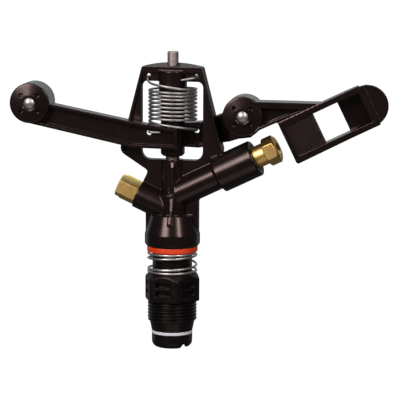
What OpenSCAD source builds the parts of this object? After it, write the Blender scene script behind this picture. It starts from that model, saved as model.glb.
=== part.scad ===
// Full-circle impact sprinkler with a 3/4 inch male inlet.
// Frame: Z up, X towards the main jet, Y towards the back.
// The origin is on the turning axis at the underside of the inlet hexagon.

/* [Inlet] */
// Outside diameter of the inlet thread
thread_od = 26.44; // [26.3:0.02:26.6]
// Distance from one thread crest to the next
thread_pitch = 1.814; // [1.80:0.001:1.82]
// Number of full thread crests
thread_turns = 7; // [4:1:7]
// Size of the wrench hexagon across its flats
hex_af = 27.4; // [26:0.1:28]
// Height of the hexagon up to the spring seat
hex_height = 14.7; // [14:0.1:16]
// Outside diameter of the turning sleeve
sleeve_od = 17.6; // [17:0.1:18]
// Bore of the turning sleeve
sleeve_id = 14; // [12:0.5:14.5]
// Radial running clearance of the sleeve in the inlet
bearing_gap = 0.08; // [0.05:0.01:0.1]

/* [Head] */
// Outside diameter of the skirt over the seal ring
skirt_od = 29.7; // [28:0.1:30]
// Height of the skirt's lower rim above the origin
skirt_z = 29.1; // [28.5:0.1:30]
// Rise angle of the main jet
jet_angle = 26; // [24:0.5:28]
// Height where the main jet's line crosses the turning axis
jet_axis_z = 55.8; // [54:0.1:56]
// Distance along the jet line to the end of the range tube
tube_end = 50.5; // [49:0.5:52]
// Rise angle of the spreader boss
spreader_angle = 24; // [22:0.5:26]
// Height where the spreader's line crosses the turning axis
spreader_axis_z = 48.2; // [47.5:0.1:49]
// Distance along the spreader line to the end of its boss
spreader_end = 20.6; // [20:0.1:22]

/* [Bridge] */
// Half width of the bridge window
window_half = 16.8; // [16.5:0.1:17]
// Height of the window's sill
window_z0 = 75.8; // [75:0.1:76]
// Height of the window's lintel
window_z1 = 117.4; // [117:0.1:118]
// Depth of the bridge's rims
bridge_depth = 7.5; // [7:0.1:7.6]
// Thickness of the bridge's web
web_depth = 4; // [3.5:0.1:4.5]
// Diameter of the fulcrum pin
pin_d = 6; // [5.8:0.1:6.2]
// Height of the fulcrum pin's top
pin_top = 133.4; // [132:0.1:135]

/* [Impact arm] */
// Angle between the arm and the bridge at rest
arm_rest = 5.4; // [5.3:0.1:6]
// Outside diameter of the arm's hub
hub_od = 12.9; // [12.5:0.1:13.2]
// Outside diameter of the two balance drums
drum_od = 21.4; // [20.5:0.1:21.5]
// Length of the balance drums
drum_len = 19; // [18:0.5:20]
// Distance from the pin to the left drum
left_drum_x = 74.9; // [72:0.1:76]
// Distance from the pin to the right drum
right_drum_x = 38.7; // [38.6:0.1:40]
// Depth of the spoon
spoon_depth = 14; // [13:0.5:15]

/* [Springs] */
// Wire diameter of the arm's torsion spring
arm_wire = 1.3; // [1.2:0.1:1.4]
// Outside diameter of the arm's torsion spring
arm_spring_od = 26.4; // [25.5:0.1:26.4]
// Wire diameter of the bearing spring
bearing_wire = 1.35; // [1.2:0.05:1.4]
// Outside diameter of the bearing spring
bearing_spring_od = 27.1; // [26:0.1:27.2]

/* [Hidden] */
$fn = 96;

plastic = [0.12, 0.10, 0.09];
brass = [0.80, 0.62, 0.28];
steel = [0.72, 0.72, 0.72];

// Turn of the hexagon's first corner from the jet side
hex_turn = -8;
// Heights of the inlet stack, all below the origin
pilot_z = -16.8;
washer_t = 1.55;
head_top_z = pilot_z - washer_t;
head_bottom_z = -26;
thread_bottom_z = -11.9;
thread_root_r = 12.1;
crest_half = 0.25;
crest_top_z = 0.2;
// Heights above the origin
ring_z = skirt_z - 2.9;
neck_top_z = 30.6;
neck_r = 10.65;
sleeve_top_z = 44;
bell_z = 35.7;
bell_top_z = 46;
bell_top_r = 11.7;
column_r = 8;
boss_r = 6;
cap_z0 = 121.9;
cap_z1 = 125.4;
cap_ridge_z = 127.5;
upper_boss_z = 109.7;
upper_boss_r = 7.5;
hook_hole_r = 1.3;
hook_x = 13;
hook_top_z = 119.6;
hook_arm_z = 91;
// Places of the spring's hook holes in the arm
arm_hook_left = -11.7;
arm_hook_right = 12.2;
// Arm sizes in the arm's own frame
hub_z0 = 77.6;
hub_z1 = 109.3;
beam_front = 12;
beam_back = 2;
flange_t = 1.7;
drum_front_y = -15.5;
left_drum_z = 105.7;
right_drum_z = 100.5;
drum_wall = 1.5;
weight_r = 8.9;
spoon_front_y = -15;
spoon_u0 = 94.2;
spoon_v0 = 39.1;
spoon_v1 = 62.4;
rail_t = 3.2;
rail_end_u = 140.4;
lower_rail_end_u = 142.6;
round_v = 50.8;
round_r = 11.1;
bucket_u = 126;
bucket_y = -22;
bucket_r = 20.5;
seat_gap = 0.05;

// Extrudes a drawing in X and Z from y0 to y1
module slab(y0, y1) {
  translate([0, y1, 0]) rotate([90, 0, 0]) linear_extrude(y1 - y0) children();
}
// Puts children on the main jet's line, with X along the jet
module on_jet() {
  translate([0, 0, jet_axis_z]) rotate([0, -jet_angle, 0]) children();
}
// Puts children on the spreader's line, with X along it
module on_spreader() {
  translate([0, 0, spreader_axis_z]) rotate([0, 0, 180]) rotate([0, -spreader_angle, 0]) children();
}
// A round bar along X
module bar_x(x0, x1, r, r_end = undef) {
  translate([x0, 0, 0]) rotate([0, 90, 0]) cylinder(h = x1 - x0, r1 = r, r2 = is_undef(r_end) ? r : r_end);
}
// A round bar along Y
module bar_y(x, z, y0, y1, r) {
  translate([x, y1, z]) rotate([90, 0, 0]) cylinder(h = y1 - y0, r = r);
}
// A round bar along Z
module bar_z(z0, z1, r, r_end = undef) {
  translate([0, 0, z0]) cylinder(h = z1 - z0, r1 = r, r2 = is_undef(r_end) ? r : r_end);
}
// A turned ring between two heights
module ring_z(z0, z1, r_in, r_out) {
  rotate_extrude() translate([r_in, z0]) square([r_out - r_in, z1 - z0]);
}
// Points along an arc, used for the rounded corners of outlines
function arc(cx, cz, r, a0, a1, n = 6) =
  [for (i = [0:n]) let (a = a0 + (a1 - a0) * i / n) [cx + r * cos(a), cz + r * sin(a)]];

// A round wire that follows a list of points
module wire(path, r, sides = 8) {
  last = len(path) - 1;
  function unit(v) = v / norm(v);
  function tangent(i) = unit(path[min(i + 1, last)] - path[max(i - 1, 0)]);
  function side_of(i) = let (t = tangent(i), up = abs(t[2]) > 0.9 ? [0, 1, 0] : [0, 0, 1]) unit(cross(t, up));
  rings = [for (i = [0:last]) let (s = side_of(i), w = cross(s, tangent(i)))
    for (k = [0:sides - 1]) path[i] + r * (cos(360 * k / sides) * s + sin(360 * k / sides) * w)];
  walls = [for (i = [0:last - 1]) for (k = [0:sides - 1])
    let (a = i * sides + k, b = i * sides + (k + 1) % sides) [a, b, b + sides, a + sides]];
  start_cap = [for (k = [0:sides - 1]) sides - 1 - k];
  end_cap = [for (k = [0:sides - 1]) last * sides + k];
  polyhedron(points = rings, faces = concat(walls, [start_cap, end_cap]), convexity = 10);
}

// ---- Inlet ----

module thread_crest(z) {
  rotate_extrude()
    polygon([[thread_root_r - 1, z - 0.8], [thread_root_r, z - 0.8], [thread_od / 2, z - crest_half],
             [thread_od / 2, z + crest_half], [thread_root_r, z + 0.8], [thread_root_r - 1, z + 0.8]]);
}

module hexagon() {
  corner_r = hex_af / 2 / cos(30);
  top_r = 12.6;
  intersection() {
    rotate([0, 0, hex_turn]) cylinder(h = hex_height, r = corner_r, $fn = 6);
    rotate_extrude()
      polygon([[0, 0], [corner_r - 0.4, 0], [corner_r, 0.4], [corner_r, hex_height - 3.4],
               [top_r, hex_height], [0, hex_height]]);
  }
}

// Cored pockets in the six faces of the hexagon
module hex_pockets() {
  pocket_w = 8.5;
  pocket_h = 3.2;
  pocket_deep = 2.6;
  for (face = [0:5])
    for (z = [2.9, 7.4])
      rotate([0, 0, hex_turn + 30 + 60 * face])
        translate([hex_af / 2 - pocket_deep, -pocket_w / 2, z]) cube([pocket_deep + 1, pocket_w, pocket_h]);
}

module bearing_nipple() {
  color(plastic)
  difference() {
    union() {
      bar_z(pilot_z, thread_bottom_z, 11, 12);
      bar_z(thread_bottom_z, 1, thread_root_r);
      for (turn = [0:thread_turns - 1]) thread_crest(crest_top_z - crest_half - turn * thread_pitch);
      hexagon();
      bar_z(hex_height - 1, neck_top_z, neck_r);
    }
    bar_z(pilot_z - 1, neck_top_z + 1, sleeve_od / 2 + bearing_gap);
    hex_pockets();
  }
}

module thrust_washer() {
  color("white") ring_z(head_top_z, pilot_z, sleeve_od / 2 + 0.4, 11);
}

// Wire centre line: nearly closed turns at both ends and one open turn between
module bearing_spring() {
  r = (bearing_spring_od - bearing_wire) / 2;
  z0 = hex_height + bearing_wire / 2;
  z1 = ring_z - bearing_wire / 2;
  start = 170;
  steps = 24;
  turns = 3.5;
  // Share of the climb that is reached after each number of turns
  climb = [[0, 0], [0.28, 0.01], [0.53, 0.04], [1.03, 0.145], [1.28, 0.2], [1.53, 0.32], [2.03, 0.69],
           [2.28, 0.79], [2.53, 0.86], [3.03, 0.95], [3.28, 0.98], [3.5, 1]];
  path = [for (i = [0:turns * steps]) let (a = start + 360 * i / steps)
    [r * cos(a), r * sin(a), z0 + (z1 - z0) * lookup(i / steps, climb)]];
  color(steel) wire(path, bearing_wire / 2 - 0.03);
}

module dust_ring() {
  color("orangered") ring_z(ring_z, skirt_z, 11, 13.6);
}

// ---- Turning head ----

module bearing_sleeve() {
  head_r = 11;
  edge_r = 3.4;
  slot_w = 6;
  slot_deep = 2.5;
  groove_deep = 1.3;
  groove_r = 10.2;
  color(plastic)
  difference() {
    union() {
      bar_z(head_top_z, sleeve_top_z, sleeve_od / 2);
      rotate_extrude()
        polygon(concat([[0, head_top_z], [0, head_bottom_z]],
                       arc(head_r - edge_r - 0.1, head_bottom_z + edge_r, edge_r, -90, 0),
                       [[head_r, head_top_z]]));
    }
    bar_z(head_bottom_z - 1, sleeve_top_z + 1, sleeve_id / 2);
    ring_z(head_top_z - groove_deep, head_top_z + 1, sleeve_od / 2, groove_r);
    rotate([0, 0, -29]) translate([-20, -slot_w / 2, head_bottom_z - 1]) cube([40, slot_w, slot_deep + 1]);
  }
}

module sleeve_seal() {
  color("dimgray") ring_z(head_top_z - 1.3, head_top_z, sleeve_od / 2 + seat_gap, 10.2 - seat_gap);
}

// Outline of the bridge and webs in the X and Z plane
module bridge_outline() {
  polygon(concat(
    [[-14.4, bell_z + 0.3], [14.4, bell_z + 0.3], [14.4, 54], [26.5, 66], [27.6, 81.5]],
    arc(14.9, cap_z1 - 1.5, 1.5, 14, 90, 4),
    arc(-14.9, cap_z1 - 1.5, 1.5, 90, 166, 4),
    arc(-24.1, 81.3, 4.2, 166, 239, 6),
    arc(-15.4, 68.6, 1.8, 59, -24, 5),
    [[-16.6, 62], [-14.4, 56]]));
}

module window_outline() {
  low_r = 4.6;
  top_r = 3;
  polygon(concat(
    arc(-window_half + low_r, window_z0 + low_r, low_r, 180, 270),
    arc(window_half - low_r, window_z0 + low_r, low_r, 270, 360),
    arc(window_half - top_r, window_z1 - top_r, top_r, 0, 90),
    arc(-window_half + top_r, window_z1 - top_r, top_r, 90, 180)));
}

// Leg rims: the outer 1.7 mm of each leg at the bridge's full depth
module leg_rims() {
  rim_w = 1.7;
  for (side = [-1, 1])
    polygon([[side * 16.4, 125], [side * 27.5, 82], [side * 27.2, 79.4], [side * (26.6 - rim_w), 79.4],
             [side * (27.5 - rim_w), 82], [side * (16.4 - rim_w), 125]]);
}

module cap_bar() {
  intersection() {
    slab(-bridge_depth / 2, bridge_depth / 2)
      polygon(concat([[-16.3, 125.1], [-16.9, cap_z0], [16.9, cap_z0], [16.3, 125.1]],
                     arc(0, cap_ridge_z - 60, 60, 74.4, 105.6, 16)));
    translate([-30, 0, 0]) rotate([90, 0, 90]) linear_extrude(60)
      polygon([[-bridge_depth / 2, 100], [bridge_depth / 2, 100], [bridge_depth / 2, cap_z1],
               [0.6, cap_ridge_z], [-0.6, cap_ridge_z], [-bridge_depth / 2, cap_z1]]);
  }
}

// Vertical rib on the front and back of the column, boss and bell
module front_ribs() {
  rib_x = 1.3;
  rib_w = 1.9;
  half_profile = [[13, 39.4], [13.4, 42], [12.4, 46], [9.4, 49], [7.6, 57], [7, 72], [6, 74.5]];
  translate([rib_x - rib_w / 2, 0, 0]) rotate([90, 0, 90]) linear_extrude(rib_w)
    polygon(concat(half_profile, [for (i = [len(half_profile) - 1:-1:0]) [-half_profile[i][0], half_profile[i][1]]]));
}

module range_tube_outside() {
  tube_r = 7.6;
  sleeve_r = 9.9;
  on_jet() {
    bar_x(0, 27.7, tube_r);
    bar_x(27.5, 28.5, tube_r + 0.2, sleeve_r);
    bar_x(28.5, tube_end - 0.7, sleeve_r);
    bar_x(tube_end - 0.7, tube_end, sleeve_r, sleeve_r - 0.6);
  }
}

module spreader_boss_outside() {
  on_spreader() bar_x(0, spreader_end, 7.7);
}

module waterways() {
  bar_z(skirt_z - 1, bell_z, 11.4);
  bar_z(bell_z - 1, sleeve_top_z, sleeve_od / 2);
  bar_z(sleeve_top_z - 1, 47, sleeve_id / 2);
  bar_z(46, 58.5, 5.6);
  on_jet() {
    bar_x(1, 40, 5);
    bar_x(18, tube_end - 12, 6);
    bar_x(tube_end - 14, tube_end + 1, 5.4);
    bar_x(tube_end - 1.5, tube_end + 1, 7.4);
  }
  on_spreader() {
    bar_x(1, spreader_end - 8, 3);
    bar_x(spreader_end - 9, spreader_end + 1, 4.4);
    bar_x(spreader_end - 1.2, spreader_end + 1, 5.6);
  }
}

module body() {
  color(plastic)
  difference() {
    union() {
      bar_z(skirt_z, skirt_z + 1.6, skirt_od / 2 - 1.2, skirt_od / 2);
      bar_z(skirt_z + 1.6, bell_z, skirt_od / 2);
      bar_z(bell_z, bell_top_z, skirt_od / 2, bell_top_r);
      bar_z(bell_top_z - 0.5, 57, column_r);
      bar_z(50, window_z0, boss_r);
      front_ribs();
      slab(-web_depth / 2, web_depth / 2) difference() {
        bridge_outline();
        window_outline();
      }
      slab(-bridge_depth / 2, bridge_depth / 2) leg_rims();
      cap_bar();
      bar_z(upper_boss_z, 123, upper_boss_r);
      range_tube_outside();
      spreader_boss_outside();
    }
    waterways();
    bar_z(63, 140, pin_d / 2);
    for (side = [-1, 1]) bar_y(side * hook_x, hook_top_z + 0.6, -5, 5, hook_hole_r);
  }
}

module fulcrum_pin() {
  color(steel) {
    bar_z(63, pin_top - 0.5, pin_d / 2);
    bar_z(pin_top - 0.5, pin_top, pin_d / 2, pin_d / 2 - 0.5);
  }
}

module fulcrum_bush() {
  color(steel) ring_z(window_z0, hub_z0, pin_d / 2, 3.7);
}

// Four-vane insert that calms the water before the nozzle
module flow_straightener() {
  vane_t = 0.8;
  color("gray")
  on_jet() {
    rotate([0, 90, 0]) translate([0, 0, 20]) {
      difference() {
        cylinder(h = 16, r = 6 - seat_gap);
        translate([0, 0, -1]) cylinder(h = 18, r = 5.2);
      }
      intersection() {
        for (turn = [0, 90]) rotate([0, 0, turn]) translate([-6, -vane_t / 2, 0]) cube([12, vane_t, 16]);
        cylinder(h = 16, r = 5.6);
      }
    }
  }
}

module range_nozzle() {
  collar_r = 5.9;
  collar_len = 6;
  hex_size = 13.4;
  hex_len = 7;
  orifice_r = 2.2;
  hex_r = hex_size / 2 / cos(30);
  color(brass)
  on_jet() {
    translate([tube_end, 0, 0]) rotate([0, 90, 0]) difference() {
      union() {
        translate([0, 0, -9]) cylinder(h = 9.5, r = 5.4);
        cylinder(h = collar_len, r = collar_r);
        translate([0, 0, collar_len]) intersection() {
          cylinder(h = hex_len, r = hex_r, $fn = 6);
          rotate_extrude()
            polygon([[0, 0], [hex_r - 0.9, 0], [hex_r, 0.6], [hex_r, hex_len - 1.1], [hex_r - 1.7, hex_len],
                     [0, hex_len]]);
        }
      }
      translate([0, 0, -10]) cylinder(h = 17, r1 = 4.4, r2 = orifice_r);
      translate([0, 0, 6.9]) cylinder(h = 6, r = orifice_r);
      translate([0, 0, collar_len + hex_len - 1.2]) cylinder(h = 2, r1 = orifice_r, r2 = orifice_r + 2.2);
    }
  }
}

module range_gasket() {
  color("dimgray") on_jet() {
    translate([tube_end - 1.5, 0, 0]) rotate([0, 90, 0]) rotate_extrude()
      translate([5.4 + seat_gap, 0]) square([1.9, 1.5]);
  }
}

module spreader_nozzle() {
  hex_size = 11.9;
  hex_len = 11.3;
  hex_r = hex_size / 2 / cos(30);
  slot_w = 2.4;
  color(brass)
  on_spreader() {
    translate([spreader_end, 0, 0]) rotate([0, 90, 0]) difference() {
      union() {
        translate([0, 0, -7]) cylinder(h = 7.5, r = 4.4);
        intersection() {
          cylinder(h = hex_len, r = hex_r, $fn = 6);
          rotate_extrude()
            polygon([[0, 0], [hex_r, 0], [hex_r, hex_len - 0.7], [hex_r - 0.8, hex_len], [0, hex_len]]);
        }
      }
      translate([0, 0, -8]) cylinder(h = 16.5, r = 2.6);
      translate([0, 0, 4]) cylinder(h = 8, r = 1.3);
      translate([-8, -slot_w / 2, hex_len - 2.2]) cube([16, slot_w, 3]);
    }
  }
}

module spreader_gasket() {
  color("dimgray") on_spreader() {
    translate([spreader_end - 1.2, 0, 0]) rotate([0, 90, 0]) rotate_extrude()
      translate([4.4 + seat_gap, 0]) square([1.1, 1.2]);
  }
}

// Torsion spring: the coil, with a hooked leg through two holes at each end
module arm_spring() {
  r = (arm_spring_od - arm_wire) / 2;
  steps = 24;
  top_z = 115.45;
  pitch = 2.12;
  full = 9;
  last_drop = 4.8;
  // Height above an even coil, after each number of turns: the first turn is steeper
  rise = [[0, 1.5], [0.125, 1.3], [0.17, 1.1], [0.38, -1.1], [0.7, -0.9], [1.17, -0.5], [1.38, -0.7],
          [2.17, -0.2], [2.38, -0.3], [3.2, 0]];
  // The coil runs downwards from the left, round the front to the right
  coil = [for (i = [steps / 8:full * steps]) let (a = 180 + 360 * i / steps)
    [r * cos(a), r * sin(a), top_z - pitch * i / steps + lookup(i / steps, rise)]];
  z_low = top_z - pitch * full;
  half = [for (i = [1:steps / 2]) let (a = 180 + 360 * i / steps)
    [r * cos(a), r * sin(a), z_low - last_drop * pow(2 * i / steps, 1.6)]];
  z_end = z_low - last_drop;
  function on_arm(p) =
    [p[0] * cos(arm_rest) - p[1] * sin(arm_rest), p[0] * sin(arm_rest) + p[1] * cos(arm_rest), p[2]];
  top_leg = [[6.2, -6.3, hook_top_z - 1.1], [hook_x - 1.5, -4.9, hook_top_z - 0.2], [hook_x, -3.4, hook_top_z],
             [hook_x, 7.8, hook_top_z], [hook_x - 1.2, 9.2, hook_top_z], [-hook_x + 1.2, 9.2, hook_top_z],
             [-hook_x, 7.8, hook_top_z], [-hook_x, -3, hook_top_z], [-hook_x + 0.1, -4.3, hook_top_z - 0.6],
             [-hook_x + 0.7, -5.7, hook_top_z - 1.6], [-hook_x + 2, -7.3, hook_top_z - 2.6]];
  low_leg = [for (p = [[arm_hook_right + 0.1, 1.6, z_end - 0.4], [arm_hook_right, 3.2, hook_arm_z],
             [arm_hook_right, 8.6, hook_arm_z], [arm_hook_right - 1.2, 9.8, hook_arm_z],
             [arm_hook_left + 1.2, 9.8, hook_arm_z], [arm_hook_left, 8.6, hook_arm_z],
             [arm_hook_left, -8.4, hook_arm_z], [arm_hook_left + 1.2, -9.6, hook_arm_z],
             [-5.5, -9.6, hook_arm_z]]) on_arm(p)];
  color(steel) wire(concat(top_leg, coil, half, low_leg), arm_wire / 2);
}

// ---- Impact arm, drawn at right angles to its own beam ----

module on_arm_frame() {
  rotate([0, 0, arm_rest]) children();
}

module left_beam_outline(inset) {
  polygon([[4 - inset, 82.2 + inset], [4 - inset, 92.9 - inset], [-6, 94.2 - inset], [-21, 96.7 - inset],
           [-75.5, 107.5 - inset], [-75.5, 94.8 + inset], [-20, 82.8 + inset]]);
}

module right_beam_outline(inset) {
  polygon([[-4 + inset, 82.5 + inset], [14, 81.8 + inset], [27, 84.9 + inset], [36, 88 + inset],
           [42.6, 89 + inset], [46.5, 92.2 + inset], [46.5, 106 - inset], [36, 106 - inset],
           [26.3, 100.4 - inset], [15, 95.6 - inset], [-4 + inset, 94.4 - inset]]);
}

module left_beam() {
  difference() {
    slab(-beam_front, -beam_back) left_beam_outline(0);
    slab(-beam_front - 1, -8.2) left_beam_outline(flange_t);
    slab(-5.8, 0) left_beam_outline(flange_t);
    bar_z(70, 120, hub_od / 2 - 0.5);
  }
}

module right_beam() {
  difference() {
    intersection() {
      slab(-20, 20) right_beam_outline(0);
      translate([0, 0, 70]) linear_extrude(50)
        polygon([[-4, beam_front], [-4, beam_back], [27, beam_back], [31, -6], [47, -10], [47, 3.5], [36, 10],
                 [31, beam_front]]);
    }
    slab(5.8 - 20, 5.8) intersection() {
      right_beam_outline(flange_t);
      translate([-10, 60]) square([36, 60]);
    }
    slab(8.2, 20) right_beam_outline(flange_t);
    bar_z(70, 120, hub_od / 2 - 0.5);
    // The spring's cross wire passes the beam's end wall here
    translate([0, 9.8, hook_arm_z]) bar_x(-8, 0, hook_hole_r);
  }
}

// One balance drum: a cup with a conical face, open at the back
module drum(x, z) {
  r = drum_od / 2;
  edge_r = 0.9;
  face_slope = 9.5;
  edge_from = r - edge_r + edge_r * sin(face_slope);
  edge_z = (edge_from - 4.2) * tan(face_slope) + edge_r * cos(face_slope);
  translate([x, drum_front_y, z]) rotate([-90, 0, 0]) difference() {
    rotate_extrude()
      polygon(concat([[0, 0.3], [3.7, 0.3], [3.8, 0], [4.2, 0]],
                     arc(r - edge_r, edge_z, edge_r, face_slope - 90, 0),
                     [[r, drum_len], [0, drum_len]]));
    translate([0, 0, 2.6]) cylinder(h = drum_len, r = r - drum_wall);
    translate([0, 0, -1]) cylinder(h = drum_len, r = 1.6);
    for (turn = [0:3]) rotate([0, 0, 45 + 90 * turn]) translate([6.2, 0, -1]) cylinder(h = 3.2, r = 1.1);
  }
}

module drum_weight(x, z) {
  translate([x, drum_front_y + 2.6, z]) rotate([-90, 0, 0]) difference() {
    cylinder(h = drum_len - 4.6, r = weight_r);
    translate([0, 0, -1]) cylinder(h = drum_len, r = 1.6);
  }
}

module drum_cap(x, z) {
  translate([x, drum_front_y + drum_len - 2, z]) rotate([-90, 0, 0]) difference() {
    cylinder(h = 2, r = drum_od / 2 - drum_wall);
    translate([0, 0, -1]) cylinder(h = 4, r = 1.6);
  }
}

module drum_pin(x, z) {
  head_r = 2.9;
  translate([x, drum_front_y, z]) rotate([-90, 0, 0]) rotate_extrude()
    polygon(concat([[0, drum_len + 1], [0, -1]], arc(0, 3.6, 4.6, -90, -51, 6), [[head_r, 0.3], [1.6, 0.3],
            [1.6, drum_len], [2.8, drum_len], [2.2, drum_len + 1]]));
}

// Long I-section between the right drum and the spoon
module spoon_link() {
  difference() {
    slab(-14.8, -1.2) polygon([[40, 91.9], [46.5, 92.8], [48.6, 94], [56, 97.4], [64, 99], [76, 104.6], [82, 108.1],
                           [46, 108.5], [40, 108.7]]);
    slab(-16, -9) polygon([[40, 93.8], [46.5, 94.6], [57, 99.6], [70, 104.9], [46, 105.4], [40, 105.5]]);
    slab(-7, 0) polygon([[40, 93.8], [46.5, 94.6], [57, 99.6], [70, 104.9], [46, 105.4], [40, 105.5]]);
    bar_y(right_drum_x, right_drum_z, -30, 20, drum_od / 2 - 0.4);
  }
}

// Spoon drawing in its own plane: U along the jet, V across it
module spoon_rails() {
  corner_r = 1.4;
  difference() {
    union() {
      polygon(concat(arc(spoon_u0 + corner_r, spoon_v0 - 0.5 + corner_r, corner_r, 180, 270),
                     [[bucket_u, spoon_v0], [lower_rail_end_u, spoon_v0],
                      [lower_rail_end_u, spoon_v0 + rail_t], [spoon_u0, spoon_v0 + rail_t]]));
      translate([spoon_u0, spoon_v0 + 1]) square([rail_end_u - spoon_u0, spoon_v1 - spoon_v0 - 1]);
    }
    translate([spoon_u0 - 1, spoon_v0 + rail_t])
      square([rail_end_u - spoon_u0 + 5, spoon_v1 - spoon_v0 - 2 * rail_t]);
  }
}

// Plan of the spoon in U and Y: its back follows the bucket
module spoon_plan() {
  back_y = bucket_y + bucket_r + 0.5;
  polygon(concat([[spoon_u0 - 1, -16], [spoon_u0 - 1, back_y]],
                 arc(bucket_u, bucket_y, bucket_r + 0.5, 90, 20, 14), [[150, -16]]));
}

// Guide vane: a plate from the front near edge to the back
module guide_vane() {
  translate([0, 0, spoon_v0 + 1]) linear_extrude(spoon_v1 - spoon_v0 - 2)
    polygon([[spoon_u0, -15], [spoon_u0 + 2.2, -15], [112.6, -10.6], [112.6, -8.6], [111, -8.6],
             [spoon_u0, -12.8]]);
}

// Drive bucket: a curved wall that turns the water towards the front
module drive_bucket() {
  translate([0, 0, spoon_v0 + 1.6]) linear_extrude(spoon_v1 - spoon_v0 - 2.6)
    polygon(concat(arc(bucket_u, bucket_y, bucket_r, 90, 22, 12),
                   arc(bucket_u, bucket_y, bucket_r - 2.2, 22, 90, 12)));
}

module spoon() {
  rotate([0, -jet_angle, 0]) {
    intersection() {
      slab(spoon_front_y, spoon_front_y + spoon_depth) spoon_rails();
      linear_extrude(90) spoon_plan();
    }
    guide_vane();
    drive_bucket();
    // Round end plate at the front
    slab(spoon_front_y + 0.1, -12.4) intersection() {
      translate([rail_end_u, round_v]) circle(r = round_r);
      translate([rail_end_u - 1.2, spoon_v0]) square([20, 30]);
    }
  }
}

module impact_arm() {
  color(plastic)
  on_arm_frame() difference() {
    union() {
      bar_z(hub_z0, hub_z0 + 1.3, hub_od / 2 - 1.2, hub_od / 2);
      bar_z(hub_z0 + 1.3, hub_z1, hub_od / 2);
      left_beam();
      right_beam();
      drum(-left_drum_x, left_drum_z);
      drum(right_drum_x, right_drum_z);
      spoon_link();
      spoon();
    }
    bar_z(70, 120, pin_d / 2 + 0.06);
    for (x = [arm_hook_left, arm_hook_right]) bar_y(x, hook_arm_z - 0.5, -15, 15, hook_hole_r);
    bar_y(-left_drum_x, left_drum_z, drum_front_y + 2.6, 20, drum_od / 2 - drum_wall);
    bar_y(right_drum_x, right_drum_z, drum_front_y + 2.6, 20, drum_od / 2 - drum_wall);
  }
}

module left_weight() {
  color(steel) on_arm_frame() drum_weight(-left_drum_x, left_drum_z);
}
module left_weight_cap() {
  color(plastic) on_arm_frame() drum_cap(-left_drum_x, left_drum_z);
}
module left_weight_pin() {
  color(steel) on_arm_frame() drum_pin(-left_drum_x, left_drum_z);
}
module right_weight() {
  color(steel) on_arm_frame() drum_weight(right_drum_x, right_drum_z);
}
module right_weight_cap() {
  color(plastic) on_arm_frame() drum_cap(right_drum_x, right_drum_z);
}
module right_weight_pin() {
  color(steel) on_arm_frame() drum_pin(right_drum_x, right_drum_z);
}

bearing_nipple();
thrust_washer();
bearing_spring();
dust_ring();
body();
bearing_sleeve();
sleeve_seal();
fulcrum_pin();
fulcrum_bush();
flow_straightener();
range_nozzle();
range_gasket();
spreader_nozzle();
spreader_gasket();
arm_spring();
impact_arm();
left_weight();
left_weight_cap();
left_weight_pin();
right_weight();
right_weight_cap();
right_weight_pin();
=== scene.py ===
# The looks of the impact sprinkler: mouldings with small rounded edges, springs of round wire that
# follow the joints, an inlet with a helical thread, and the materials, lights and camera.
import math

import bmesh
import bpy
import numpy as np
from mathutils import Matrix, Vector


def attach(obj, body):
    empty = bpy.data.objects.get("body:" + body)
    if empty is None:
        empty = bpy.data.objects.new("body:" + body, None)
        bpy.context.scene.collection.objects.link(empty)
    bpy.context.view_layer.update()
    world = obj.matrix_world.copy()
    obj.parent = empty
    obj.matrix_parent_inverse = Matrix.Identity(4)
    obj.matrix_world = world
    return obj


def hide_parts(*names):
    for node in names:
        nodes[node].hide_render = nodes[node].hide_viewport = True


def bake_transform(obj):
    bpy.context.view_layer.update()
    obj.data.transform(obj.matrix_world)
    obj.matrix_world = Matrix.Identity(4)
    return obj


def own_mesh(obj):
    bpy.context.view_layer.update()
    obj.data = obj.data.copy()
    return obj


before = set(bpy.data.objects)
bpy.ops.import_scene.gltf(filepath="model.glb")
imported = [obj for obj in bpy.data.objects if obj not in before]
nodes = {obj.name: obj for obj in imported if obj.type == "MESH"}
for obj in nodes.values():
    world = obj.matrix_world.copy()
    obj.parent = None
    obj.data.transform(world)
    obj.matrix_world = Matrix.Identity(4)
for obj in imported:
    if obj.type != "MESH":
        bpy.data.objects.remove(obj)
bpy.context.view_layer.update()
scene = bpy.context.scene
MM = 0.001


# ---------- materials ----------

# Stretch of a noise: the same all round, a little drawn out along Z, or drawn out a lot
EVEN = (1, 1, 1)
TALLER = (1, 1, 0.6)
ALONG_Z = (1, 1, 0.03)
# The brown cast of the highlights on the two mouldings
PLASTIC_TINT = (1.0, 0.72, 0.68, 1)
# The depth of the plastics' skin and of the other materials' fine marks, in metres
SKIN_DEEP = 0.00006
MARK_DEEP = 0.00005


def new_material(name, base, metallic, roughness):
    """A plain material, with its node tree and its shader."""
    mat = bpy.data.materials.new(name)
    mat.use_nodes = True
    tree = mat.node_tree
    tree.nodes.clear()
    out = tree.nodes.new("ShaderNodeOutputMaterial")
    shader = tree.nodes.new("ShaderNodeBsdfPrincipled")
    tree.links.new(shader.outputs[0], out.inputs[0])
    shader.inputs["Base Color"].default_value = (*base, 1)
    shader.inputs["Metallic"].default_value = metallic
    shader.inputs["Roughness"].default_value = roughness
    return mat, tree, shader


def coords(tree, stretch=EVEN):
    """The piece's own coordinates, scaled by stretch."""
    tex = tree.nodes.new("ShaderNodeTexCoord")
    mapping = tree.nodes.new("ShaderNodeMapping")
    mapping.inputs["Scale"].default_value = stretch
    tree.links.new(tex.outputs["Object"], mapping.inputs["Vector"])
    return mapping.outputs[0]


def noise(tree, vector, scale, detail=3.0, rough=0.5, distortion=0.0):
    n = tree.nodes.new("ShaderNodeTexNoise")
    n.inputs["Scale"].default_value = scale
    n.inputs["Detail"].default_value = detail
    n.inputs["Roughness"].default_value = rough
    n.inputs["Distortion"].default_value = distortion
    tree.links.new(vector, n.inputs["Vector"])
    return n.outputs[0]


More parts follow.
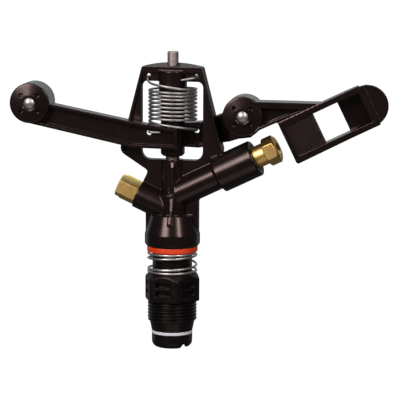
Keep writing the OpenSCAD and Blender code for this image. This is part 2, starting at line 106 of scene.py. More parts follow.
def ramp(tree, factor, stops):
    """A colour that goes through stops of (place, colour) as factor goes from 0 to 1."""
    r = tree.nodes.new("ShaderNodeValToRGB")
    while len(r.color_ramp.elements) < len(stops):
        r.color_ramp.elements.new(0.5)
    for e, (at, color) in zip(r.color_ramp.elements, stops):
        e.position = at
        e.color = (*color, 1)
    tree.links.new(factor, r.inputs[0])
    return r.outputs[0]


def remap(tree, value, low, high):
    """Spreads a noise's usual range over low to high."""
    m = tree.nodes.new("ShaderNodeMapRange")
    m.inputs["From Min"].default_value = 0.3
    m.inputs["From Max"].default_value = 0.7
    m.inputs["To Min"].default_value = low
    m.inputs["To Max"].default_value = high
    tree.links.new(value, m.inputs["Value"])
    return m.outputs[0]


def bumped(tree, shader, height, strength, distance):
    """Fine relief from a noise. distance is its depth in metres."""
    b = tree.nodes.new("ShaderNodeBump")
    b.inputs["Strength"].default_value = strength
    b.inputs["Distance"].default_value = distance
    tree.links.new(height, b.inputs["Height"])
    tree.links.new(b.outputs[0], shader.inputs["Normal"])


def dark_plastic(name, dark, light, rough_low, rough_high, level=0.5):
    """Glossy moulded plastic: soft flow marks in the colour, haze in the gloss, a fine skin."""
    mat, tree, shader = new_material(name, dark, 0.0, 0.35)
    flow = noise(tree, coords(tree, TALLER), 55, 4, 0.6, 0.4)
    tree.links.new(ramp(tree, flow, [(0.32, dark), (0.68, light)]), shader.inputs["Base Color"])
    haze = noise(tree, coords(tree), 160, 3, 0.55)
    tree.links.new(remap(tree, haze, rough_low, rough_high), shader.inputs["Roughness"])
    skin = noise(tree, coords(tree), 1500, 2, 0.5)
    bumped(tree, shader, skin, 0.05, SKIN_DEEP)
    shader.inputs["IOR"].default_value = 1.5
    shader.inputs["Specular IOR Level"].default_value = level
    shader.inputs["Specular Tint"].default_value = PLASTIC_TINT
    return mat


def metal(name, dark, light, rough_low, rough_high, scale, stretch, strength):
    """Bare metal with a slow change of tone and fine marks of the given scale."""
    mat, tree, shader = new_material(name, light, 1.0, 0.3)
    tone = noise(tree, coords(tree), scale * 0.12, 3, 0.6)
    tree.links.new(ramp(tree, tone, [(0.3, dark), (0.7, light)]), shader.inputs["Base Color"])
    marks = noise(tree, coords(tree, stretch), scale, 3, 0.6)
    tree.links.new(remap(tree, marks, rough_low, rough_high), shader.inputs["Roughness"])
    bumped(tree, shader, marks, strength, MARK_DEEP)
    return mat


def soft_solid(name, dark, light, rough_low, rough_high, scale=600, strength=0.1):
    """Matt rubber or plain plastic with a fine grain."""
    mat, tree, shader = new_material(name, light, 0.0, 0.5)
    tone = noise(tree, coords(tree), scale * 0.25, 3, 0.55)
    tree.links.new(ramp(tree, tone, [(0.3, dark), (0.7, light)]), shader.inputs["Base Color"])
    grain = noise(tree, coords(tree), scale, 3, 0.5)
    tree.links.new(remap(tree, grain, rough_low, rough_high), shader.inputs["Roughness"])
    bumped(tree, shader, grain, strength, MARK_DEEP)
    return mat


plastic = dark_plastic("moulded_brown", (0.0046, 0.0026, 0.0022), (0.0084, 0.0047, 0.0039), 0.21, 0.26)
plastic_inlet = dark_plastic("moulded_black", (0.0026, 0.0020, 0.0019), (0.0050, 0.0038, 0.0034),
                             0.29, 0.36, level=0.36)
brass = metal("turned_brass", (0.85, 0.49, 0.13), (0.97, 0.65, 0.23), 0.33, 0.43, 900, EVEN, 0.03)
wire_steel = metal("spring_wire", (0.42, 0.38, 0.37), (0.54, 0.50, 0.49), 0.40, 0.50, 900, EVEN, 0.02)
# The bearing spring is the same steel wire as the arm spring: its lighter copy is painted light, for the
# brighter highlights on the front of that spring
wire_painted_light = metal("bearing_wire", (0.58, 0.54, 0.52), (0.72, 0.68, 0.66), 0.34, 0.42, 900, EVEN, 0.02)
pin_steel = metal("ground_pin", (0.42, 0.34, 0.31), (0.56, 0.48, 0.44), 0.50, 0.60, 2200, ALONG_Z, 0.10)
bright_steel = metal("bright_steel", (0.42, 0.39, 0.37), (0.56, 0.53, 0.51), 0.36, 0.46, 1200, EVEN, 0.03)
bush_steel = metal("bush_steel", (0.16, 0.12, 0.10), (0.28, 0.22, 0.19), 0.45, 0.55, 1200, EVEN, 0.03)
cast = metal("cast_weight", (0.10, 0.10, 0.10), (0.20, 0.20, 0.21), 0.45, 0.65, 700, EVEN, 0.3)
white = soft_solid("white_washer", (0.74, 0.73, 0.78), (0.84, 0.83, 0.88), 0.35, 0.5, 500, 0.06)
orange = soft_solid("orange_ring", (0.74, 0.046, 0.004), (0.88, 0.064, 0.007), 0.45, 0.6, 500, 0.08)
rubber = soft_solid("black_rubber", (0.008, 0.008, 0.008), (0.016, 0.016, 0.016), 0.6, 0.8, 900, 0.2)
grey = soft_solid("grey_plastic", (0.22, 0.23, 0.25), (0.32, 0.33, 0.35), 0.4, 0.55)


# ---------- mesh helpers ----------

# A CAD edge counts as sharp above this angle, and is followed in steps of this many mm
EDGE_ANGLE = math.radians(25)
EDGE_STEP = 0.06
# Edges of a finished moulding that bend more than this stay crisp in the shading
CRISP_ANGLE = math.radians(65)


def piece(name, verts, faces, mat, body, replaces=()):
    """A smooth piece of its own, from points in metres."""
    me = bpy.data.meshes.new(name)
    me.from_pydata([tuple(v) for v in verts], [], [tuple(f) for f in faces])
    me.update()
    me.validate()
    ob = bpy.data.objects.new(name, me)
    scene.collection.objects.link(ob)
    me.materials.append(mat)
    me.shade_smooth()
    return settle(ob, body, replaces)


def settle(ob, body, replaces):
    """Gives a piece its body and the CAD nodes that it stands for."""
    if body:
        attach(ob, body)
    if replaces:
        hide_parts(*replaces)
    return ob


def applied(ob):
    """Replaces the object's mesh by the result of its modifiers."""
    deps = bpy.context.evaluated_depsgraph_get()
    made = bpy.data.meshes.new_from_object(ob.evaluated_get(deps))
    ob.modifiers.clear()
    ob.data = made
    return ob


def points_of(me):
    """The points of a mesh as an array."""
    co = np.zeros(len(me.vertices) * 3)
    me.vertices.foreach_get("co", co)
    return co.reshape(-1, 3)


def relax(me, co, times):
    """Evens the mesh by moving each point halfway to the middle of its neighbours."""
    edges = np.zeros(len(me.edges) * 2, int)
    me.edges.foreach_get("vertices", edges)
    a, b = edges.reshape(-1, 2).T
    count = np.bincount(a, minlength=len(co)) + np.bincount(b, minlength=len(co))
    for _ in range(times):
        near = [np.bincount(a, co[b, k], len(co)) + np.bincount(b, co[a, k], len(co)) for k in range(3)]
        co = co + 0.5 * (np.stack(near, 1) / np.maximum(count, 1)[:, None] - co)
    return co


def snap_turned(co, origin, axis, profile, reach=0.06):
    """Moves points that lie near a turned surface exactly onto it. profile holds (t0, r0, t1, r1) in mm."""
    axis = np.array(axis, float) / np.linalg.norm(axis)
    d = co - np.array(origin, float)
    t = d @ axis
    radial = d - t[:, None] * axis
    r = np.linalg.norm(radial, axis=1)
    best = np.full(len(co), reach)
    new_t, new_r = t.copy(), r.copy()
    for t0, r0, t1, r1 in profile:
        span = np.array([t1 - t0, r1 - r0])
        f = np.clip(((t - t0) * span[0] + (r - r0) * span[1]) / (span @ span), 0, 1)
        pt, pr = t0 + f * span[0], r0 + f * span[1]
        far = np.hypot(t - pt, r - pr)
        hit = (far < best) & (f > 0.001) & (f < 0.999)
        best[hit], new_t[hit], new_r[hit] = far[hit], pt[hit], pr[hit]
    safe = np.maximum(r, 1e-9)
    return np.array(origin, float) + new_t[:, None] * axis + radial * (new_r / safe)[:, None]


def sharp_edges(me):
    """Points in mm along the sharp edges of a mesh."""
    bm = bmesh.new()
    bm.from_mesh(me)
    bmesh.ops.remove_doubles(bm, verts=bm.verts, dist=0.002 * MM)
    out = []
    for e in bm.edges:
        if len(e.link_faces) == 2 and e.calc_face_angle(0) > EDGE_ANGLE:
            a, b = (np.array(v.co) / MM for v in e.verts)
            count = max(2, int(np.linalg.norm(b - a) / EDGE_STEP) + 1)
            out.append(a + (b - a) * np.linspace(0, 1, count)[:, None])
    bm.free()
    return np.concatenate(out)


def snap_edges(ob, co, targets, reach):
    """Moves points that lie near a sharp edge onto it, so that the edge stays straight."""
    me = bpy.data.meshes.new("edge_points")
    me.from_pydata((targets * MM).tolist(), [], [])
    guide = bpy.data.objects.new("edge_points", me)
    scene.collection.objects.link(guide)
    wrap = ob.modifiers.new("to_edge", "SHRINKWRAP")
    wrap.target = guide
    wrap.wrap_method = "NEAREST_VERTEX"
    bpy.context.view_layer.update()
    deps = bpy.context.evaluated_depsgraph_get()
    made = bpy.data.meshes.new_from_object(ob.evaluated_get(deps))
    near = points_of(made) / MM
    ob.modifiers.clear()
    bpy.data.meshes.remove(made)
    bpy.data.objects.remove(guide)
    bpy.data.meshes.remove(me)
    hit = np.linalg.norm(near - co, axis=1) < reach
    return np.where(hit[:, None], near, co)


def moulded(node, name, mat, body, voxel, times, keep, turned=(), holes=()):
    """A copy of a CAD node with the small rounded edges that a moulding or a casting has.

    voxel is in mm, times is how often the mesh is relaxed and keep is the share of faces kept.
    turned lists the turned surfaces that stay exact, as snap_turned takes them.
    holes lists (point, axis, radius) in mm: inside these the edges stay crisp.
    """
    ob = bpy.data.objects.new(name, nodes[node].data.copy())
    scene.collection.objects.link(ob)
    edges = sharp_edges(ob.data)
    remesh = ob.modifiers.new("remesh", "REMESH")
    remesh.mode = "VOXEL"
    remesh.voxel_size = voxel * MM
    wrap = ob.modifiers.new("wrap", "SHRINKWRAP")
    wrap.target = nodes[node]
    wrap.wrap_method = "NEAREST_SURFACEPOINT"
    applied(ob)
    co = points_of(ob.data) / MM
    co = snap_edges(ob, co, edges, 0.62 * voxel)
    for origin, axis, profile in turned:
        co = snap_turned(co, origin, axis, profile)
    soft = relax(ob.data, co, times)
    crisp = np.zeros(len(co), bool)
    for origin, axis, radius in holes:
        crisp |= np.linalg.norm(np.cross(co - np.array(origin), np.array(axis)), axis=1) < radius
    co = np.where(crisp[:, None], co, soft)
    ob.data.vertices.foreach_set("co", (co * MM).ravel())
    ob.data.update()
    thin = ob.modifiers.new("thin", "DECIMATE")
    thin.ratio = keep
    applied(ob)
    ob.data.materials.clear()
    ob.data.materials.append(mat)
    ob.data.shade_smooth()
    ob.data.set_sharp_from_angle(angle=CRISP_ANGLE)
    even = ob.modifiers.new("even", "WEIGHTED_NORMAL")
    even.keep_sharp = True
    even.weight = 60
    applied(ob)
    return settle(ob, body, (node,))


def fillet(points, radius, steps=6):
    """Rounds the corners of a line of points."""
    pts = [Vector(p) for p in points]
    out = [pts[0]]
    for before, at, after in zip(pts, pts[1:], pts[2:]):
        u, v = before - at, after - at
        cut = min(radius, 0.48 * u.length, 0.48 * v.length)
        a, b = at + u.normalized() * cut, at + v.normalized() * cut
        for i in range(steps + 1):
            k = i / steps
            out.append(a * (1 - k) ** 2 + at * 2 * k * (1 - k) + b * k ** 2)
    out.append(pts[-1])
    clean = [out[0]]
    for p in out[1:]:
        if (p - clean[-1]).length > 0.02:
            clean.append(p)
    return clean


def wire(name, path, r, sides, mat):
    """A round wire along a path in mm. Three smaller rings round off each end."""
    def end_ring(p, s, t, depth, sign):
        """depth is the ring's share of the way to full width, sign is 1 at the far end."""
        width = r * math.sin(math.acos(1 - depth)) if depth else 0.12 * r
        return p + t * sign * 0.5 * r * (1 - depth), s, t, width

    path = [Vector(p) for p in path]
    last = len(path) - 1
    tangents = [(path[min(i + 1, last)] - path[max(i - 1, 0)]).normalized() for i in range(last + 1)]
    side = tangents[0].orthogonal().normalized()
    sides_at = []
    for t in tangents:
        side = (side - t * side.dot(t)).normalized()
        sides_at.append(side.copy())
    rings = [end_ring(path[0], sides_at[0], tangents[0], depth, -1) for depth in (0.0, 0.45, 0.8)]
    rings += [(p, s, t, r) for p, s, t in zip(path, sides_at, tangents)]
    rings += [end_ring(path[-1], sides_at[-1], tangents[-1], depth, 1) for depth in (0.8, 0.45, 0.0)]
    verts, faces = [], []
    for p, s, t, rr in rings:
        w = t.cross(s)
        for k in range(sides):
            a = 2 * math.pi * k / sides
            verts.append((p + (s * math.cos(a) + w * math.sin(a)) * rr) * MM)
    for i in range(len(rings) - 1):
        for k in range(sides):
            a, b = i * sides + k, i * sides + (k + 1) % sides
            faces.append((a, b, b + sides, a + sides))
    faces.append(tuple(range(sides))[::-1])
    faces.append(tuple((len(rings) - 1) * sides + k for k in range(sides)))
    return piece(name, verts, faces, mat, None)


# ---------- sizes repeated from the CAD source, in mm ----------

BASE, Y, Z = (0, 0, 0), (0, 1, 0), (0, 0, 1)

# The inlet and the sleeve in it: heights from the bottom up, then radii
HEAD_BOTTOM_Z, HEAD_TOP_Z, PILOT_Z, THREAD_BOTTOM_Z = -26, -18.35, -16.8, -11.9
HEX_TOP_Z, NECK_TOP_Z, SLEEVE_TOP_Z = 14.7, 30.6, 44
HEX_AF, HEX_TURN, HEX_TOP_R = 27.4, math.radians(-8), 12.6
THREAD_PITCH, THREAD_R, THREAD_ROOT_R = 1.814, 13.22, 12.1
PILOT_R, NECK_R, INLET_BORE_R = 11, 10.65, 8.88
SLEEVE_R, SLEEVE_BORE_R, SLEEVE_EDGE = 8.8, 7, 3.4
POCKET_HALF_W, POCKET_HALF_H, POCKET_DEEP = 4.3, 1.6, 2.6
POCKETS_Z = (4.5, 9.0)

# The head
RING_Z, SKIRT_Z, SKIRT_FULL_Z, BELL_Z, BELL_TOP_Z = 26.2, 29.1, 30.7, 35.7, 46
SKIRT_R, BELL_TOP_R, COLUMN_R, BOSS_R, UPPER_BOSS_R = 14.85, 11.7, 8, 6, 7.5
COLUMN_TOP_Z, UPPER_BOSS_Z, UPPER_BOSS_TOP_Z = 57, 109.7, 123
WINDOW_Z0 = 75.8
# Rounded corners as (x, z, radius): the window's on the right side, and two of the bridge's outline
WINDOW_CORNERS = ((12.2, 80.4, 4.6), (13.8, 114.4, 3))
LEG_FOOT, WEB_FOOT = (-24.1, 81.3, 4.2), (-15.4, 68.6, 1.8)
CAP_RIDGE_Z, CAP_ARC_R = 127.5, 60
JET, JET_Z, TUBE_R, TUBE_SLEEVE_R, TUBE_END = math.radians(26), 55.8, 7.6, 9.9, 50.5
COLLAR_R, COLLAR_LEN, NOZZLE_SHANK_R = 5.9, 6, 5.4
SPREAD, SPREAD_Z, SPREAD_R, SPREAD_END = math.radians(24), 48.2, 7.7, 20.6

# The arm, in its own frame
ARM = math.radians(5.4)
HUB_R, HUB_Z0, HUB_FULL_Z, HUB_Z1 = 6.45, 77.6, 78.9, 109.3
DRUMS = ((-74.9, 105.7), (38.7, 100.5))
DRUM_R, DRUM_LEN, DRUM_WALL, DRUM_FLOOR, DRUM_FRONT_Y = 10.7, 19, 1.5, 2.6, -15.5
# The drum's conical face as (depth, radius) of its two ends, and where the straight side starts
DRUM_FACE = (0, 4.2, 0.962, 9.9485)
DRUM_SIDE = 1.85
HOLE_OFFSET = 4.38
ROUND_END, ROUND_END_R = (140.4, -15, 50.8), 11.1
BUCKET, BUCKET_R, BUCKET_T = (126, -22, 39), 20.5, 2.2

jet_o, jet_d = (0, 0, JET_Z), (math.cos(JET), 0, math.sin(JET))
spread_o, spread_d = (0, 0, SPREAD_Z), (-math.cos(SPREAD), 0, math.sin(SPREAD))


def arm_point(x, y, z):
    """A point or a direction of the arm's own frame, turned to where the arm rests."""
    return (x * math.cos(ARM) - y * math.sin(ARM), x * math.sin(ARM) + y * math.cos(ARM), z)


def spoon_point(u, y, v):
    """A point or a direction of the spoon's plane, U along the jet and V across it."""
    return arm_point(u * math.cos(JET) - v * math.sin(JET), y, u * math.sin(JET) + v * math.cos(JET))


def straight(r, start, end):
    """A cylinder's line, as snap_turned takes it."""
    return (start, r, end, r)


def corner(x, z, r):
    """A rounded corner of an outline in X and Z, all the way through the web."""
    return ((x, 0, z), Y, [straight(r, -2, 2)])


# ---------- turning head ----------

body_turned = [
    (BASE, Z, [(SKIRT_Z, SKIRT_R - 1.2, SKIRT_FULL_Z, SKIRT_R), straight(SKIRT_R, SKIRT_FULL_Z, BELL_Z),
               (BELL_Z, SKIRT_R, BELL_TOP_Z, BELL_TOP_R), straight(COLUMN_R, BELL_TOP_Z - 0.5, COLUMN_TOP_Z),
               straight(BOSS_R, 50, WINDOW_Z0), straight(UPPER_BOSS_R, UPPER_BOSS_Z, UPPER_BOSS_TOP_Z)]),
    (jet_o, jet_d, [straight(TUBE_R, 0, 27.7), straight(TUBE_SLEEVE_R, 28.5, TUBE_END - 0.7),
                    (TUBE_END - 0.7, TUBE_SLEEVE_R, TUBE_END, TUBE_SLEEVE_R - 0.6)]),
    (spread_o, spread_d, [straight(SPREAD_R, 0, SPREAD_END)]),
    ((0, 0, CAP_RIDGE_Z - CAP_ARC_R), Y, [straight(CAP_ARC_R, -1, 1)]),
    corner(*LEG_FOOT),
    corner(*WEB_FOOT),
]
body_turned += [corner(side * x, z, r) for x, z, r in WINDOW_CORNERS for side in (-1, 1)]
sleeve_turned = [
    (BASE, Z, [straight(SLEEVE_BORE_R, HEAD_BOTTOM_Z, SLEEVE_TOP_Z),
               straight(SLEEVE_R, HEAD_TOP_Z, SLEEVE_TOP_Z),
               (HEAD_BOTTOM_Z + SLEEVE_EDGE, PILOT_R - 0.1, HEAD_TOP_Z, PILOT_R)]),
]
nozzle_turned = [
    (jet_o, jet_d, [straight(COLLAR_R, TUBE_END, TUBE_END + COLLAR_LEN),
                    straight(NOZZLE_SHANK_R, TUBE_END - 9, TUBE_END)]),
]
moulded("body", "head_moulding", plastic, "head",
        voxel=0.28, times=4, keep=0.35, turned=body_turned)
moulded("bearing_sleeve", "sleeve_moulding", plastic_inlet, "head",
        voxel=0.26, times=3, keep=0.5, turned=sleeve_turned)
moulded("range_nozzle", "range_nozzle_brass", brass, "head",
        voxel=0.16, times=2, keep=0.3, turned=nozzle_turned)
moulded("spreader_nozzle", "spreader_nozzle_brass", brass, "head", voxel=0.16, times=2, keep=0.3)
for node, mat in (("fulcrum_pin", pin_steel), ("fulcrum_bush", bush_steel), ("flow_straightener", grey),
                  ("range_gasket", rubber), ("spreader_gasket", rubber), ("sleeve_seal", rubber)):
    nodes[node].material_slots[0].material = mat

# ---------- impact arm ----------

drum_lines = [DRUM_FACE, straight(DRUM_R, DRUM_SIDE, DRUM_LEN),
              straight(DRUM_R - DRUM_WALL, DRUM_FLOOR, DRUM_LEN)]
backwards = arm_point(*Y)
arm_turned = [(BASE, Z, [(HUB_Z0, HUB_R - 1.2, HUB_FULL_Z, HUB_R), straight(HUB_R, HUB_FULL_Z, HUB_Z1)])]
arm_turned += [(arm_point(x, DRUM_FRONT_Y, z), backwards, drum_lines) for x, z in DRUMS]
arm_turned += [
    (spoon_point(*ROUND_END), backwards, [straight(ROUND_END_R, 0.1, 2.6)]),
    (spoon_point(*BUCKET), spoon_point(0, 0, 1), [straight(BUCKET_R, 1.6, 23),
                                                  straight(BUCKET_R - BUCKET_T, 1.6, 23)]),
]
drum_holes = [(arm_point(x + sx * HOLE_OFFSET, DRUM_FRONT_Y, z + sz * HOLE_OFFSET), backwards, 1.5)
              for x, z in DRUMS for sx in (-1, 1) for sz in (-1, 1)]
moulded("impact_arm", "arm_moulding", plastic, "arm",
        voxel=0.25, times=3, keep=0.35, turned=arm_turned, holes=drum_holes)
for side in ("left", "right"):
    nodes[side + "_weight_cap"].material_slots[0].material = plastic
    nodes[side + "_weight"].material_slots[0].material = cast
    nodes[side + "_weight_pin"].material_slots[0].material = bright_steel

# ---------- arm spring ----------

WIRE_R, COIL_R = 0.65, 12.55
TOP_Z, COIL_PITCH, TURNS, LAST_DROP = 115.45, 2.12, 9, 4.8
LOW_Z = TOP_Z - COIL_PITCH * TURNS
# Points of the wire's path in each turn, and points round each wire
STEPS = 40
WIRE_SIDES, BEARING_SIDES = 12, 14
# Places of the hook holes in the bridge and in the arm
HOOK_X, HOOK_Z = 13.0, 119.6
ARM_HOOK_LEFT, ARM_HOOK_RIGHT, ARM_HOOK_Z = -11.7, 12.2, 91.0
# Height above an even coil after each number of turns: the first turn is steeper
RISE_AT = (0, 0.125, 0.17, 0.38, 0.7, 1.17, 1.38, 2.17, 2.38, 3.2, 9)
RISE = (1.5, 1.3, 1.1, -1.1, -0.9, -0.5, -0.7, -0.2, -0.3, 0, 0)


def smoothed(values, half):
    """Running mean over half points to each side."""
    width = 2 * half + 1
    return np.convolve(np.pad(values, half, mode="edge"), np.ones(width) / width, mode="valid")


def arm_spring_path():
    """Hooked leg in the bridge, coil down from the left round the front, hooked leg in the arm."""
    def at(step, z):
        a = math.pi + 2 * math.pi * step / STEPS
        return (COIL_R * math.cos(a), COIL_R * math.sin(a), z)

    rise = smoothed(np.interp(np.arange(TURNS * STEPS + 1) / STEPS, RISE_AT, RISE), 3)
    coil = [at(i, TOP_Z - COIL_PITCH * i / STEPS + rise[i]) for i in range(STEPS // 8, TURNS * STEPS + 1)]
    coil += [at(i, LOW_Z - LAST_DROP * (2 * i / STEPS) ** 1.6) for i in range(1, STEPS // 2 + 1)]
    hx, hz, az = HOOK_X, HOOK_Z, ARM_HOOK_Z
    left, right_x, end_z = ARM_HOOK_LEFT, ARM_HOOK_RIGHT, LOW_Z - LAST_DROP
    top_leg = [(6.2, -6.3, hz - 1.1), (hx - 1.5, -4.9, hz - 0.2), (hx, -3.4, hz), (hx, 7.8, hz),
               (hx - 1.2, 9.2, hz), (-hx + 1.2, 9.2, hz), (-hx, 7.8, hz), (-hx, -3, hz),
               (-hx + 0.1, -4.3, hz - 0.6), (-hx + 0.7, -5.7, hz - 1.6), (-hx + 2, -7.3, hz - 2.6)]
    low_leg = [(right_x + 0.1, 1.6, end_z - 0.4), (right_x, 3.2, az), (right_x, 8.6, az),
               (right_x - 1.2, 9.8, az), (left + 1.2, 9.8, az), (left, 8.6, az), (left, -8.4, az),
               (left + 1.2, -9.6, az), (-5.5, -9.6, az)]
    top_leg = fillet(top_leg + [coil[0]], 1.4)
    low_leg = fillet([coil[-1]] + [arm_point(*p) for p in low_leg], 1.4)
    return top_leg[:-1] + coil + low_leg[1:]


spring = wire("arm_spring_wire", arm_spring_path(), WIRE_R, WIRE_SIDES, wire_steel)
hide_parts("arm_spring")
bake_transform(spring)

# ---------- bearing spring, ring and washer ----------

BEARING_WIRE, BEARING_SPRING_OD, BEARING_START = 1.35, 27.1, math.radians(170)
# Share of the climb that is reached after each number of turns
CLIMB_AT = (0, 0.28, 0.53, 1.03, 1.28, 1.53, 2.03, 2.28, 2.53, 3.03, 3.28, 3.5)
CLIMB = (0, 0.01, 0.04, 0.145, 0.2, 0.32, 0.69, 0.79, 0.86, 0.95, 0.98, 1)


def bearing_spring_path():
    """Nearly closed turns at both ends and one open turn between, from the seat to the ring."""
    r = (BEARING_SPRING_OD - BEARING_WIRE) / 2
    z0, z1 = HEX_TOP_Z + BEARING_WIRE / 2, RING_Z - BEARING_WIRE / 2
    reached = np.arange(0, CLIMB_AT[-1] + 0.001, 1 / 64)
    climb = smoothed(np.interp(reached, CLIMB_AT, CLIMB), 8)
    climb = (climb - climb[0]) / (climb[-1] - climb[0])
    a = BEARING_START + 2 * math.pi * reached
    return np.stack([r * np.cos(a), r * np.sin(a), z0 + (z1 - z0) * climb], 1)


bearing = wire("bearing_spring_wire", bearing_spring_path(), BEARING_WIRE / 2 - 0.03, BEARING_SIDES,
               wire_painted_light)
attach(bearing, "inlet")
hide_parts("bearing_spring")
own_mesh(bearing)


def turned_ring(name, profile, mat, body, node, segs=160):
    """A closed ring from a closed outline of (r, z) in mm."""
    verts, faces = [], []
    n = len(profile)
    for k in range(segs):
        a = 2 * math.pi * k / segs
        verts += [(r * math.cos(a) * MM, r * math.sin(a) * MM, z * MM) for r, z in profile]
    for k in range(segs):
        for i in range(n):
            a, b = k * n + i, k * n + (i + 1) % n
            c, d = ((k + 1) % segs) * n + (i + 1) % n, ((k + 1) % segs) * n + i
            faces.append((a, d, c, b))
    return piece(name, verts, faces, mat, body, (node,))


def rounded_box(r0, r1, z0, z1, c, n=4):
    """Outline of a rectangle in R and Z with corners of radius c."""
    out = []
    corners = ((r1 - c, z0 + c, -90), (r1 - c, z1 - c, 0), (r0 + c, z1 - c, 90), (r0 + c, z0 + c, 180))
    for cx, cz, a0 in corners:
        for i in range(n + 1):
            a = math.radians(a0 + 90 * i / n)
            out.append((cx + c * math.cos(a), cz + c * math.sin(a)))
    return out


turned_ring("dust_ring_rubber", rounded_box(11, 13.6, RING_Z, SKIRT_Z, 0.4), orange,
            "carriage", "dust_ring")
turned_ring("thrust_washer_white", rounded_box(9.2, PILOT_R, HEAD_TOP_Z, PILOT_Z, 0.12), white,
            "inlet", "thrust_washer")

# ---------- inlet nipple with a true helical thread ----------

def soft_min(a, b, k):
    """The smaller of two values, with a rounded change-over of width k."""
    h = np.clip(0.5 + 0.5 * (b - a) / k, 0, 1)
    return b * (1 - h) + a * h - k * h * (1 - h)


def hexagon_radius(theta, z):
    """The wrench hexagon with its top chamfer and the two cored pockets in each face."""
    face = (theta - HEX_TURN) % (math.pi / 3) - math.pi / 6
    flat = HEX_AF / 2 / np.cos(face)
    corners = np.full_like(flat, HEX_AF / 2 / math.cos(math.pi / 6) - 0.25)
    chamfer = HEX_TOP_R + (HEX_TOP_Z - z) * 0.947
    outside = soft_min(soft_min(flat, corners, 0.5), chamfer, 0.4)
    across = np.abs(HEX_AF / 2 * np.tan(face))
    inside_z = np.maximum(*(POCKET_HALF_H - np.abs(z - mid) for mid in POCKETS_Z))
    pocket = np.clip(inside_z / 0.18, 0, 1) * np.clip((POCKET_HALF_W - across) / 0.25, 0, 1)
    return outside - pocket * POCKET_DEEP


def thread_radius(theta, z):
    """The helical thread, with rounded crests that run out at its lower end."""
    turn = (z / THREAD_PITCH - theta / (2 * math.pi) + 0.17) % 1
    ridge = np.clip((0.40 - np.abs(turn - 0.5)) / 0.26, 0, 1)
    thread = THREAD_ROOT_R + (THREAD_R - THREAD_ROOT_R) * ridge * ridge * (3 - 2 * ridge)
    return np.minimum(thread, PILOT_R + 1 + np.maximum(z - THREAD_BOTTOM_Z, 0) * 1.1)


def pilot_radius(z):
    """The slightly conical pilot, with a rounded lower edge."""
    above = z - PILOT_Z
    return PILOT_R + above / (THREAD_BOTTOM_Z - PILOT_Z) - 0.35 * np.clip(1 - above / 0.35, 0, 1) ** 2


def nipple_radius(theta, z, upper):
    """Outer radius in mm. Where the radius steps, upper picks the surface above the step."""
    r = np.where(z < THREAD_BOTTOM_Z, pilot_radius(z), thread_radius(theta, z))
    r = np.where((z > 0) | ((z == 0) & upper), hexagon_radius(theta, z), r)
    return np.where((z > HEX_TOP_Z) | ((z == HEX_TOP_Z) & upper), NECK_R, r)


def evenly(start, end, step, upper):
    """Rows of the nipple's mesh at even heights."""
    return [(z, upper) for z in np.arange(start, end, step)]


THREAD_STEP = 0.125
rows = evenly(PILOT_Z, PILOT_Z + 0.4, 0.08, False) + evenly(PILOT_Z + 0.5, THREAD_BOTTOM_Z - 0.1, 0.5, False)
rows += evenly(THREAD_BOTTOM_Z + 0.01, -0.05, THREAD_STEP, False) + evenly(0.4, 2.7, 0.4, True)
# Rows crowd together at the pockets' edges
for mid in POCKETS_Z:
    for off in (0.6, 1.2, 1.42, 1.51, POCKET_HALF_H, 1.67):
        rows += [(mid - off, True), (mid + off, True)]
    rows.append((mid, True))
rows += evenly(6.3, 7.3, 0.3, True) + evenly(10.9, HEX_TOP_Z - 0.05, 0.22, True)
rows += evenly(HEX_TOP_Z + 0.2, 30.2, 1.5, True)
rows += [(THREAD_BOTTOM_Z - 0.01, False), (0.0, False), (0.0, True), (0.12, True), (HEX_TOP_Z, False),
         (HEX_TOP_Z, True), (NECK_TOP_Z - 0.3, True), (NECK_TOP_Z, True)]
segs = 384
theta = np.arange(segs) * 2 * math.pi / segs


def loop_at(r, z):
    """One closed row of points; r may be one radius or one for each angle."""
    return np.stack([r * np.cos(theta), r * np.sin(theta), np.full_like(theta, z)], 1)


loops = [loop_at(nipple_radius(theta, np.full_like(theta, z), np.full(theta.shape, upper)), z)
         for z, upper in sorted(set(rows))]
loops += [loop_at(r, z) for r, z in ((10.5, NECK_TOP_Z), (INLET_BORE_R, NECK_TOP_Z), (INLET_BORE_R, 20),
                                     (INLET_BORE_R, 5), (INLET_BORE_R, -8), (INLET_BORE_R, PILOT_Z),
                                     (10.4, PILOT_Z))]
nipple_faces = []
for i in range(len(loops)):
    j = (i + 1) % len(loops)
    for k in range(segs):
        m = (k + 1) % segs
        nipple_faces.append((i * segs + k, i * segs + m, j * segs + m, j * segs + k))
nipple = piece("inlet_nipple", np.concatenate(loops) * MM, nipple_faces, plastic_inlet, "inlet",
               ("bearing_nipple",))
even = nipple.modifiers.new("even", "WEIGHTED_NORMAL")
even.keep_sharp = False
applied(nipple)

# ---------- stage ----------

TURN, TILT, ROLL = math.radians(12.3), math.radians(8.1), math.radians(0.3)
LENS, SENSOR, DISTANCE = 198.0, 36.0, 1.178
aim = Vector((14.7 * math.cos(TURN), 14.7 * math.sin(TURN), 53.7)) * MM


def area_light(name, at, size_x, size_y, radiance, color=(1, 1, 1)):
    """A soft panel that faces the object. radiance is how bright its surface is."""
    lamp = bpy.data.lights.new(name, "AREA")
    lamp.shape = "RECTANGLE"
    lamp.size, lamp.size_y, lamp.color = size_x, size_y, color
    lamp.energy = radiance * math.pi * size_x * size_y
    ob = bpy.data.objects.new(name, lamp)
    scene.collection.objects.link(ob)
    ob.location = at
    ob.rotation_mode = "QUATERNION"
    ob.rotation_quaternion = (Vector(at) - aim).to_track_quat("Z", "Y")
    ob.visible_camera = False


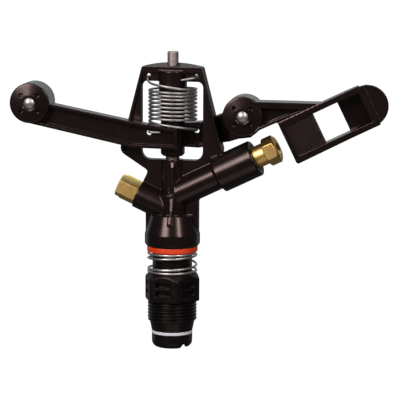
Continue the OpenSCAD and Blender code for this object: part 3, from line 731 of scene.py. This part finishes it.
right = Vector((math.cos(TURN), math.sin(TURN), 0))
back = Vector((math.sin(TURN) * math.cos(TILT), -math.cos(TURN) * math.cos(TILT), math.sin(TILT)))
up = back.cross(right)
cam_data = bpy.data.cameras.new("camera")
cam_data.lens, cam_data.sensor_width = LENS, SENSOR
cam_data.clip_start, cam_data.clip_end = 0.05, 50
cam = bpy.data.objects.new("camera", cam_data)
scene.collection.objects.link(cam)
rolled_right = right * math.cos(ROLL) + up * math.sin(ROLL)
rolled_up = up * math.cos(ROLL) - right * math.sin(ROLL)
stand = Matrix((rolled_right, rolled_up, back)).transposed().to_4x4()
stand.translation = aim + back * DISTANCE
cam.matrix_world = stand
scene.camera = cam


def around(azimuth, elevation, distance):
    """A point round the object; azimuth 0 is the camera's side and positive is to the right."""
    a, e = math.radians(azimuth) + TURN, math.radians(elevation)
    return aim + Vector((math.sin(a) * math.cos(e), -math.cos(a) * math.cos(e), math.sin(e))) * distance


area_light("strip_left", around(-34, 29, 1.1), 0.42, 0.58, 11.0, (1.0, 0.97, 0.98))
area_light("strip_right", around(30, 30, 1.1), 0.17, 0.60, 15.0, (1.0, 0.95, 0.94))
area_light("overhead", around(180, 79, 1.0), 0.9, 0.8, 2.1, (0.72, 0.92, 1.0))
area_light("rim_left", around(-135, 8, 1.2), 0.5, 1.2, 0.4, (0.85, 0.94, 1.0))
area_light("rim_right", around(135, 10, 1.2), 0.5, 1.2, 0.35, (0.88, 0.95, 1.0))
area_light("rear_strip", around(165, 42, 1.1), 0.3, 0.4, 2.5)
area_light("backdrop_glow", around(180, 9, 1.4), 1.1, 0.7, 0.45, (0.90, 0.96, 1.0))
area_light("table_glow", around(0, -48, 1.1), 1.4, 0.6, 0.45)

world = bpy.data.worlds.new("studio")
world.use_nodes = True
background = world.node_tree.nodes["Background"]
background.inputs["Color"].default_value = (0.9, 0.93, 1.0, 1)
background.inputs["Strength"].default_value = 0.075
scene.world = world

paper, _, shader = new_material("white_paper", (0.9, 0.9, 0.9), 0.0, 0.9)
shader.inputs["Emission Color"].default_value = (1, 1, 1, 1)
shader.inputs["Emission Strength"].default_value = 1.0


def stage_mesh(name, verts, faces):
    """A white surface that shows behind the object and neither lights nor shades it."""
    me = bpy.data.meshes.new(name)
    me.from_pydata(verts, [], faces)
    me.materials.append(paper)
    ob = bpy.data.objects.new(name, me)
    scene.collection.objects.link(ob)
    for flag in ("visible_diffuse", "visible_glossy", "visible_transmission", "visible_shadow"):
        setattr(ob, flag, False)


FLOOR, FAR, WALLS = -0.45, 5.0, 64
angles = [2 * math.pi * k / WALLS for k in range(WALLS)]
ring = [(FAR * math.cos(a), FAR * math.sin(a)) for a in angles]
low_ring, high_ring = ([(x, y, z) for x, y in ring] for z in (FLOOR, FAR))
wall_faces = [(k, (k + 1) % WALLS, WALLS + (k + 1) % WALLS, WALLS + k) for k in range(WALLS)]
stage_mesh("floor", low_ring, [tuple(range(WALLS))])
stage_mesh("backdrop", low_ring + high_ring, wall_faces + [tuple(range(WALLS, 2 * WALLS))])

scene.view_settings.view_transform = "Standard"
scene.view_settings.look = "None"
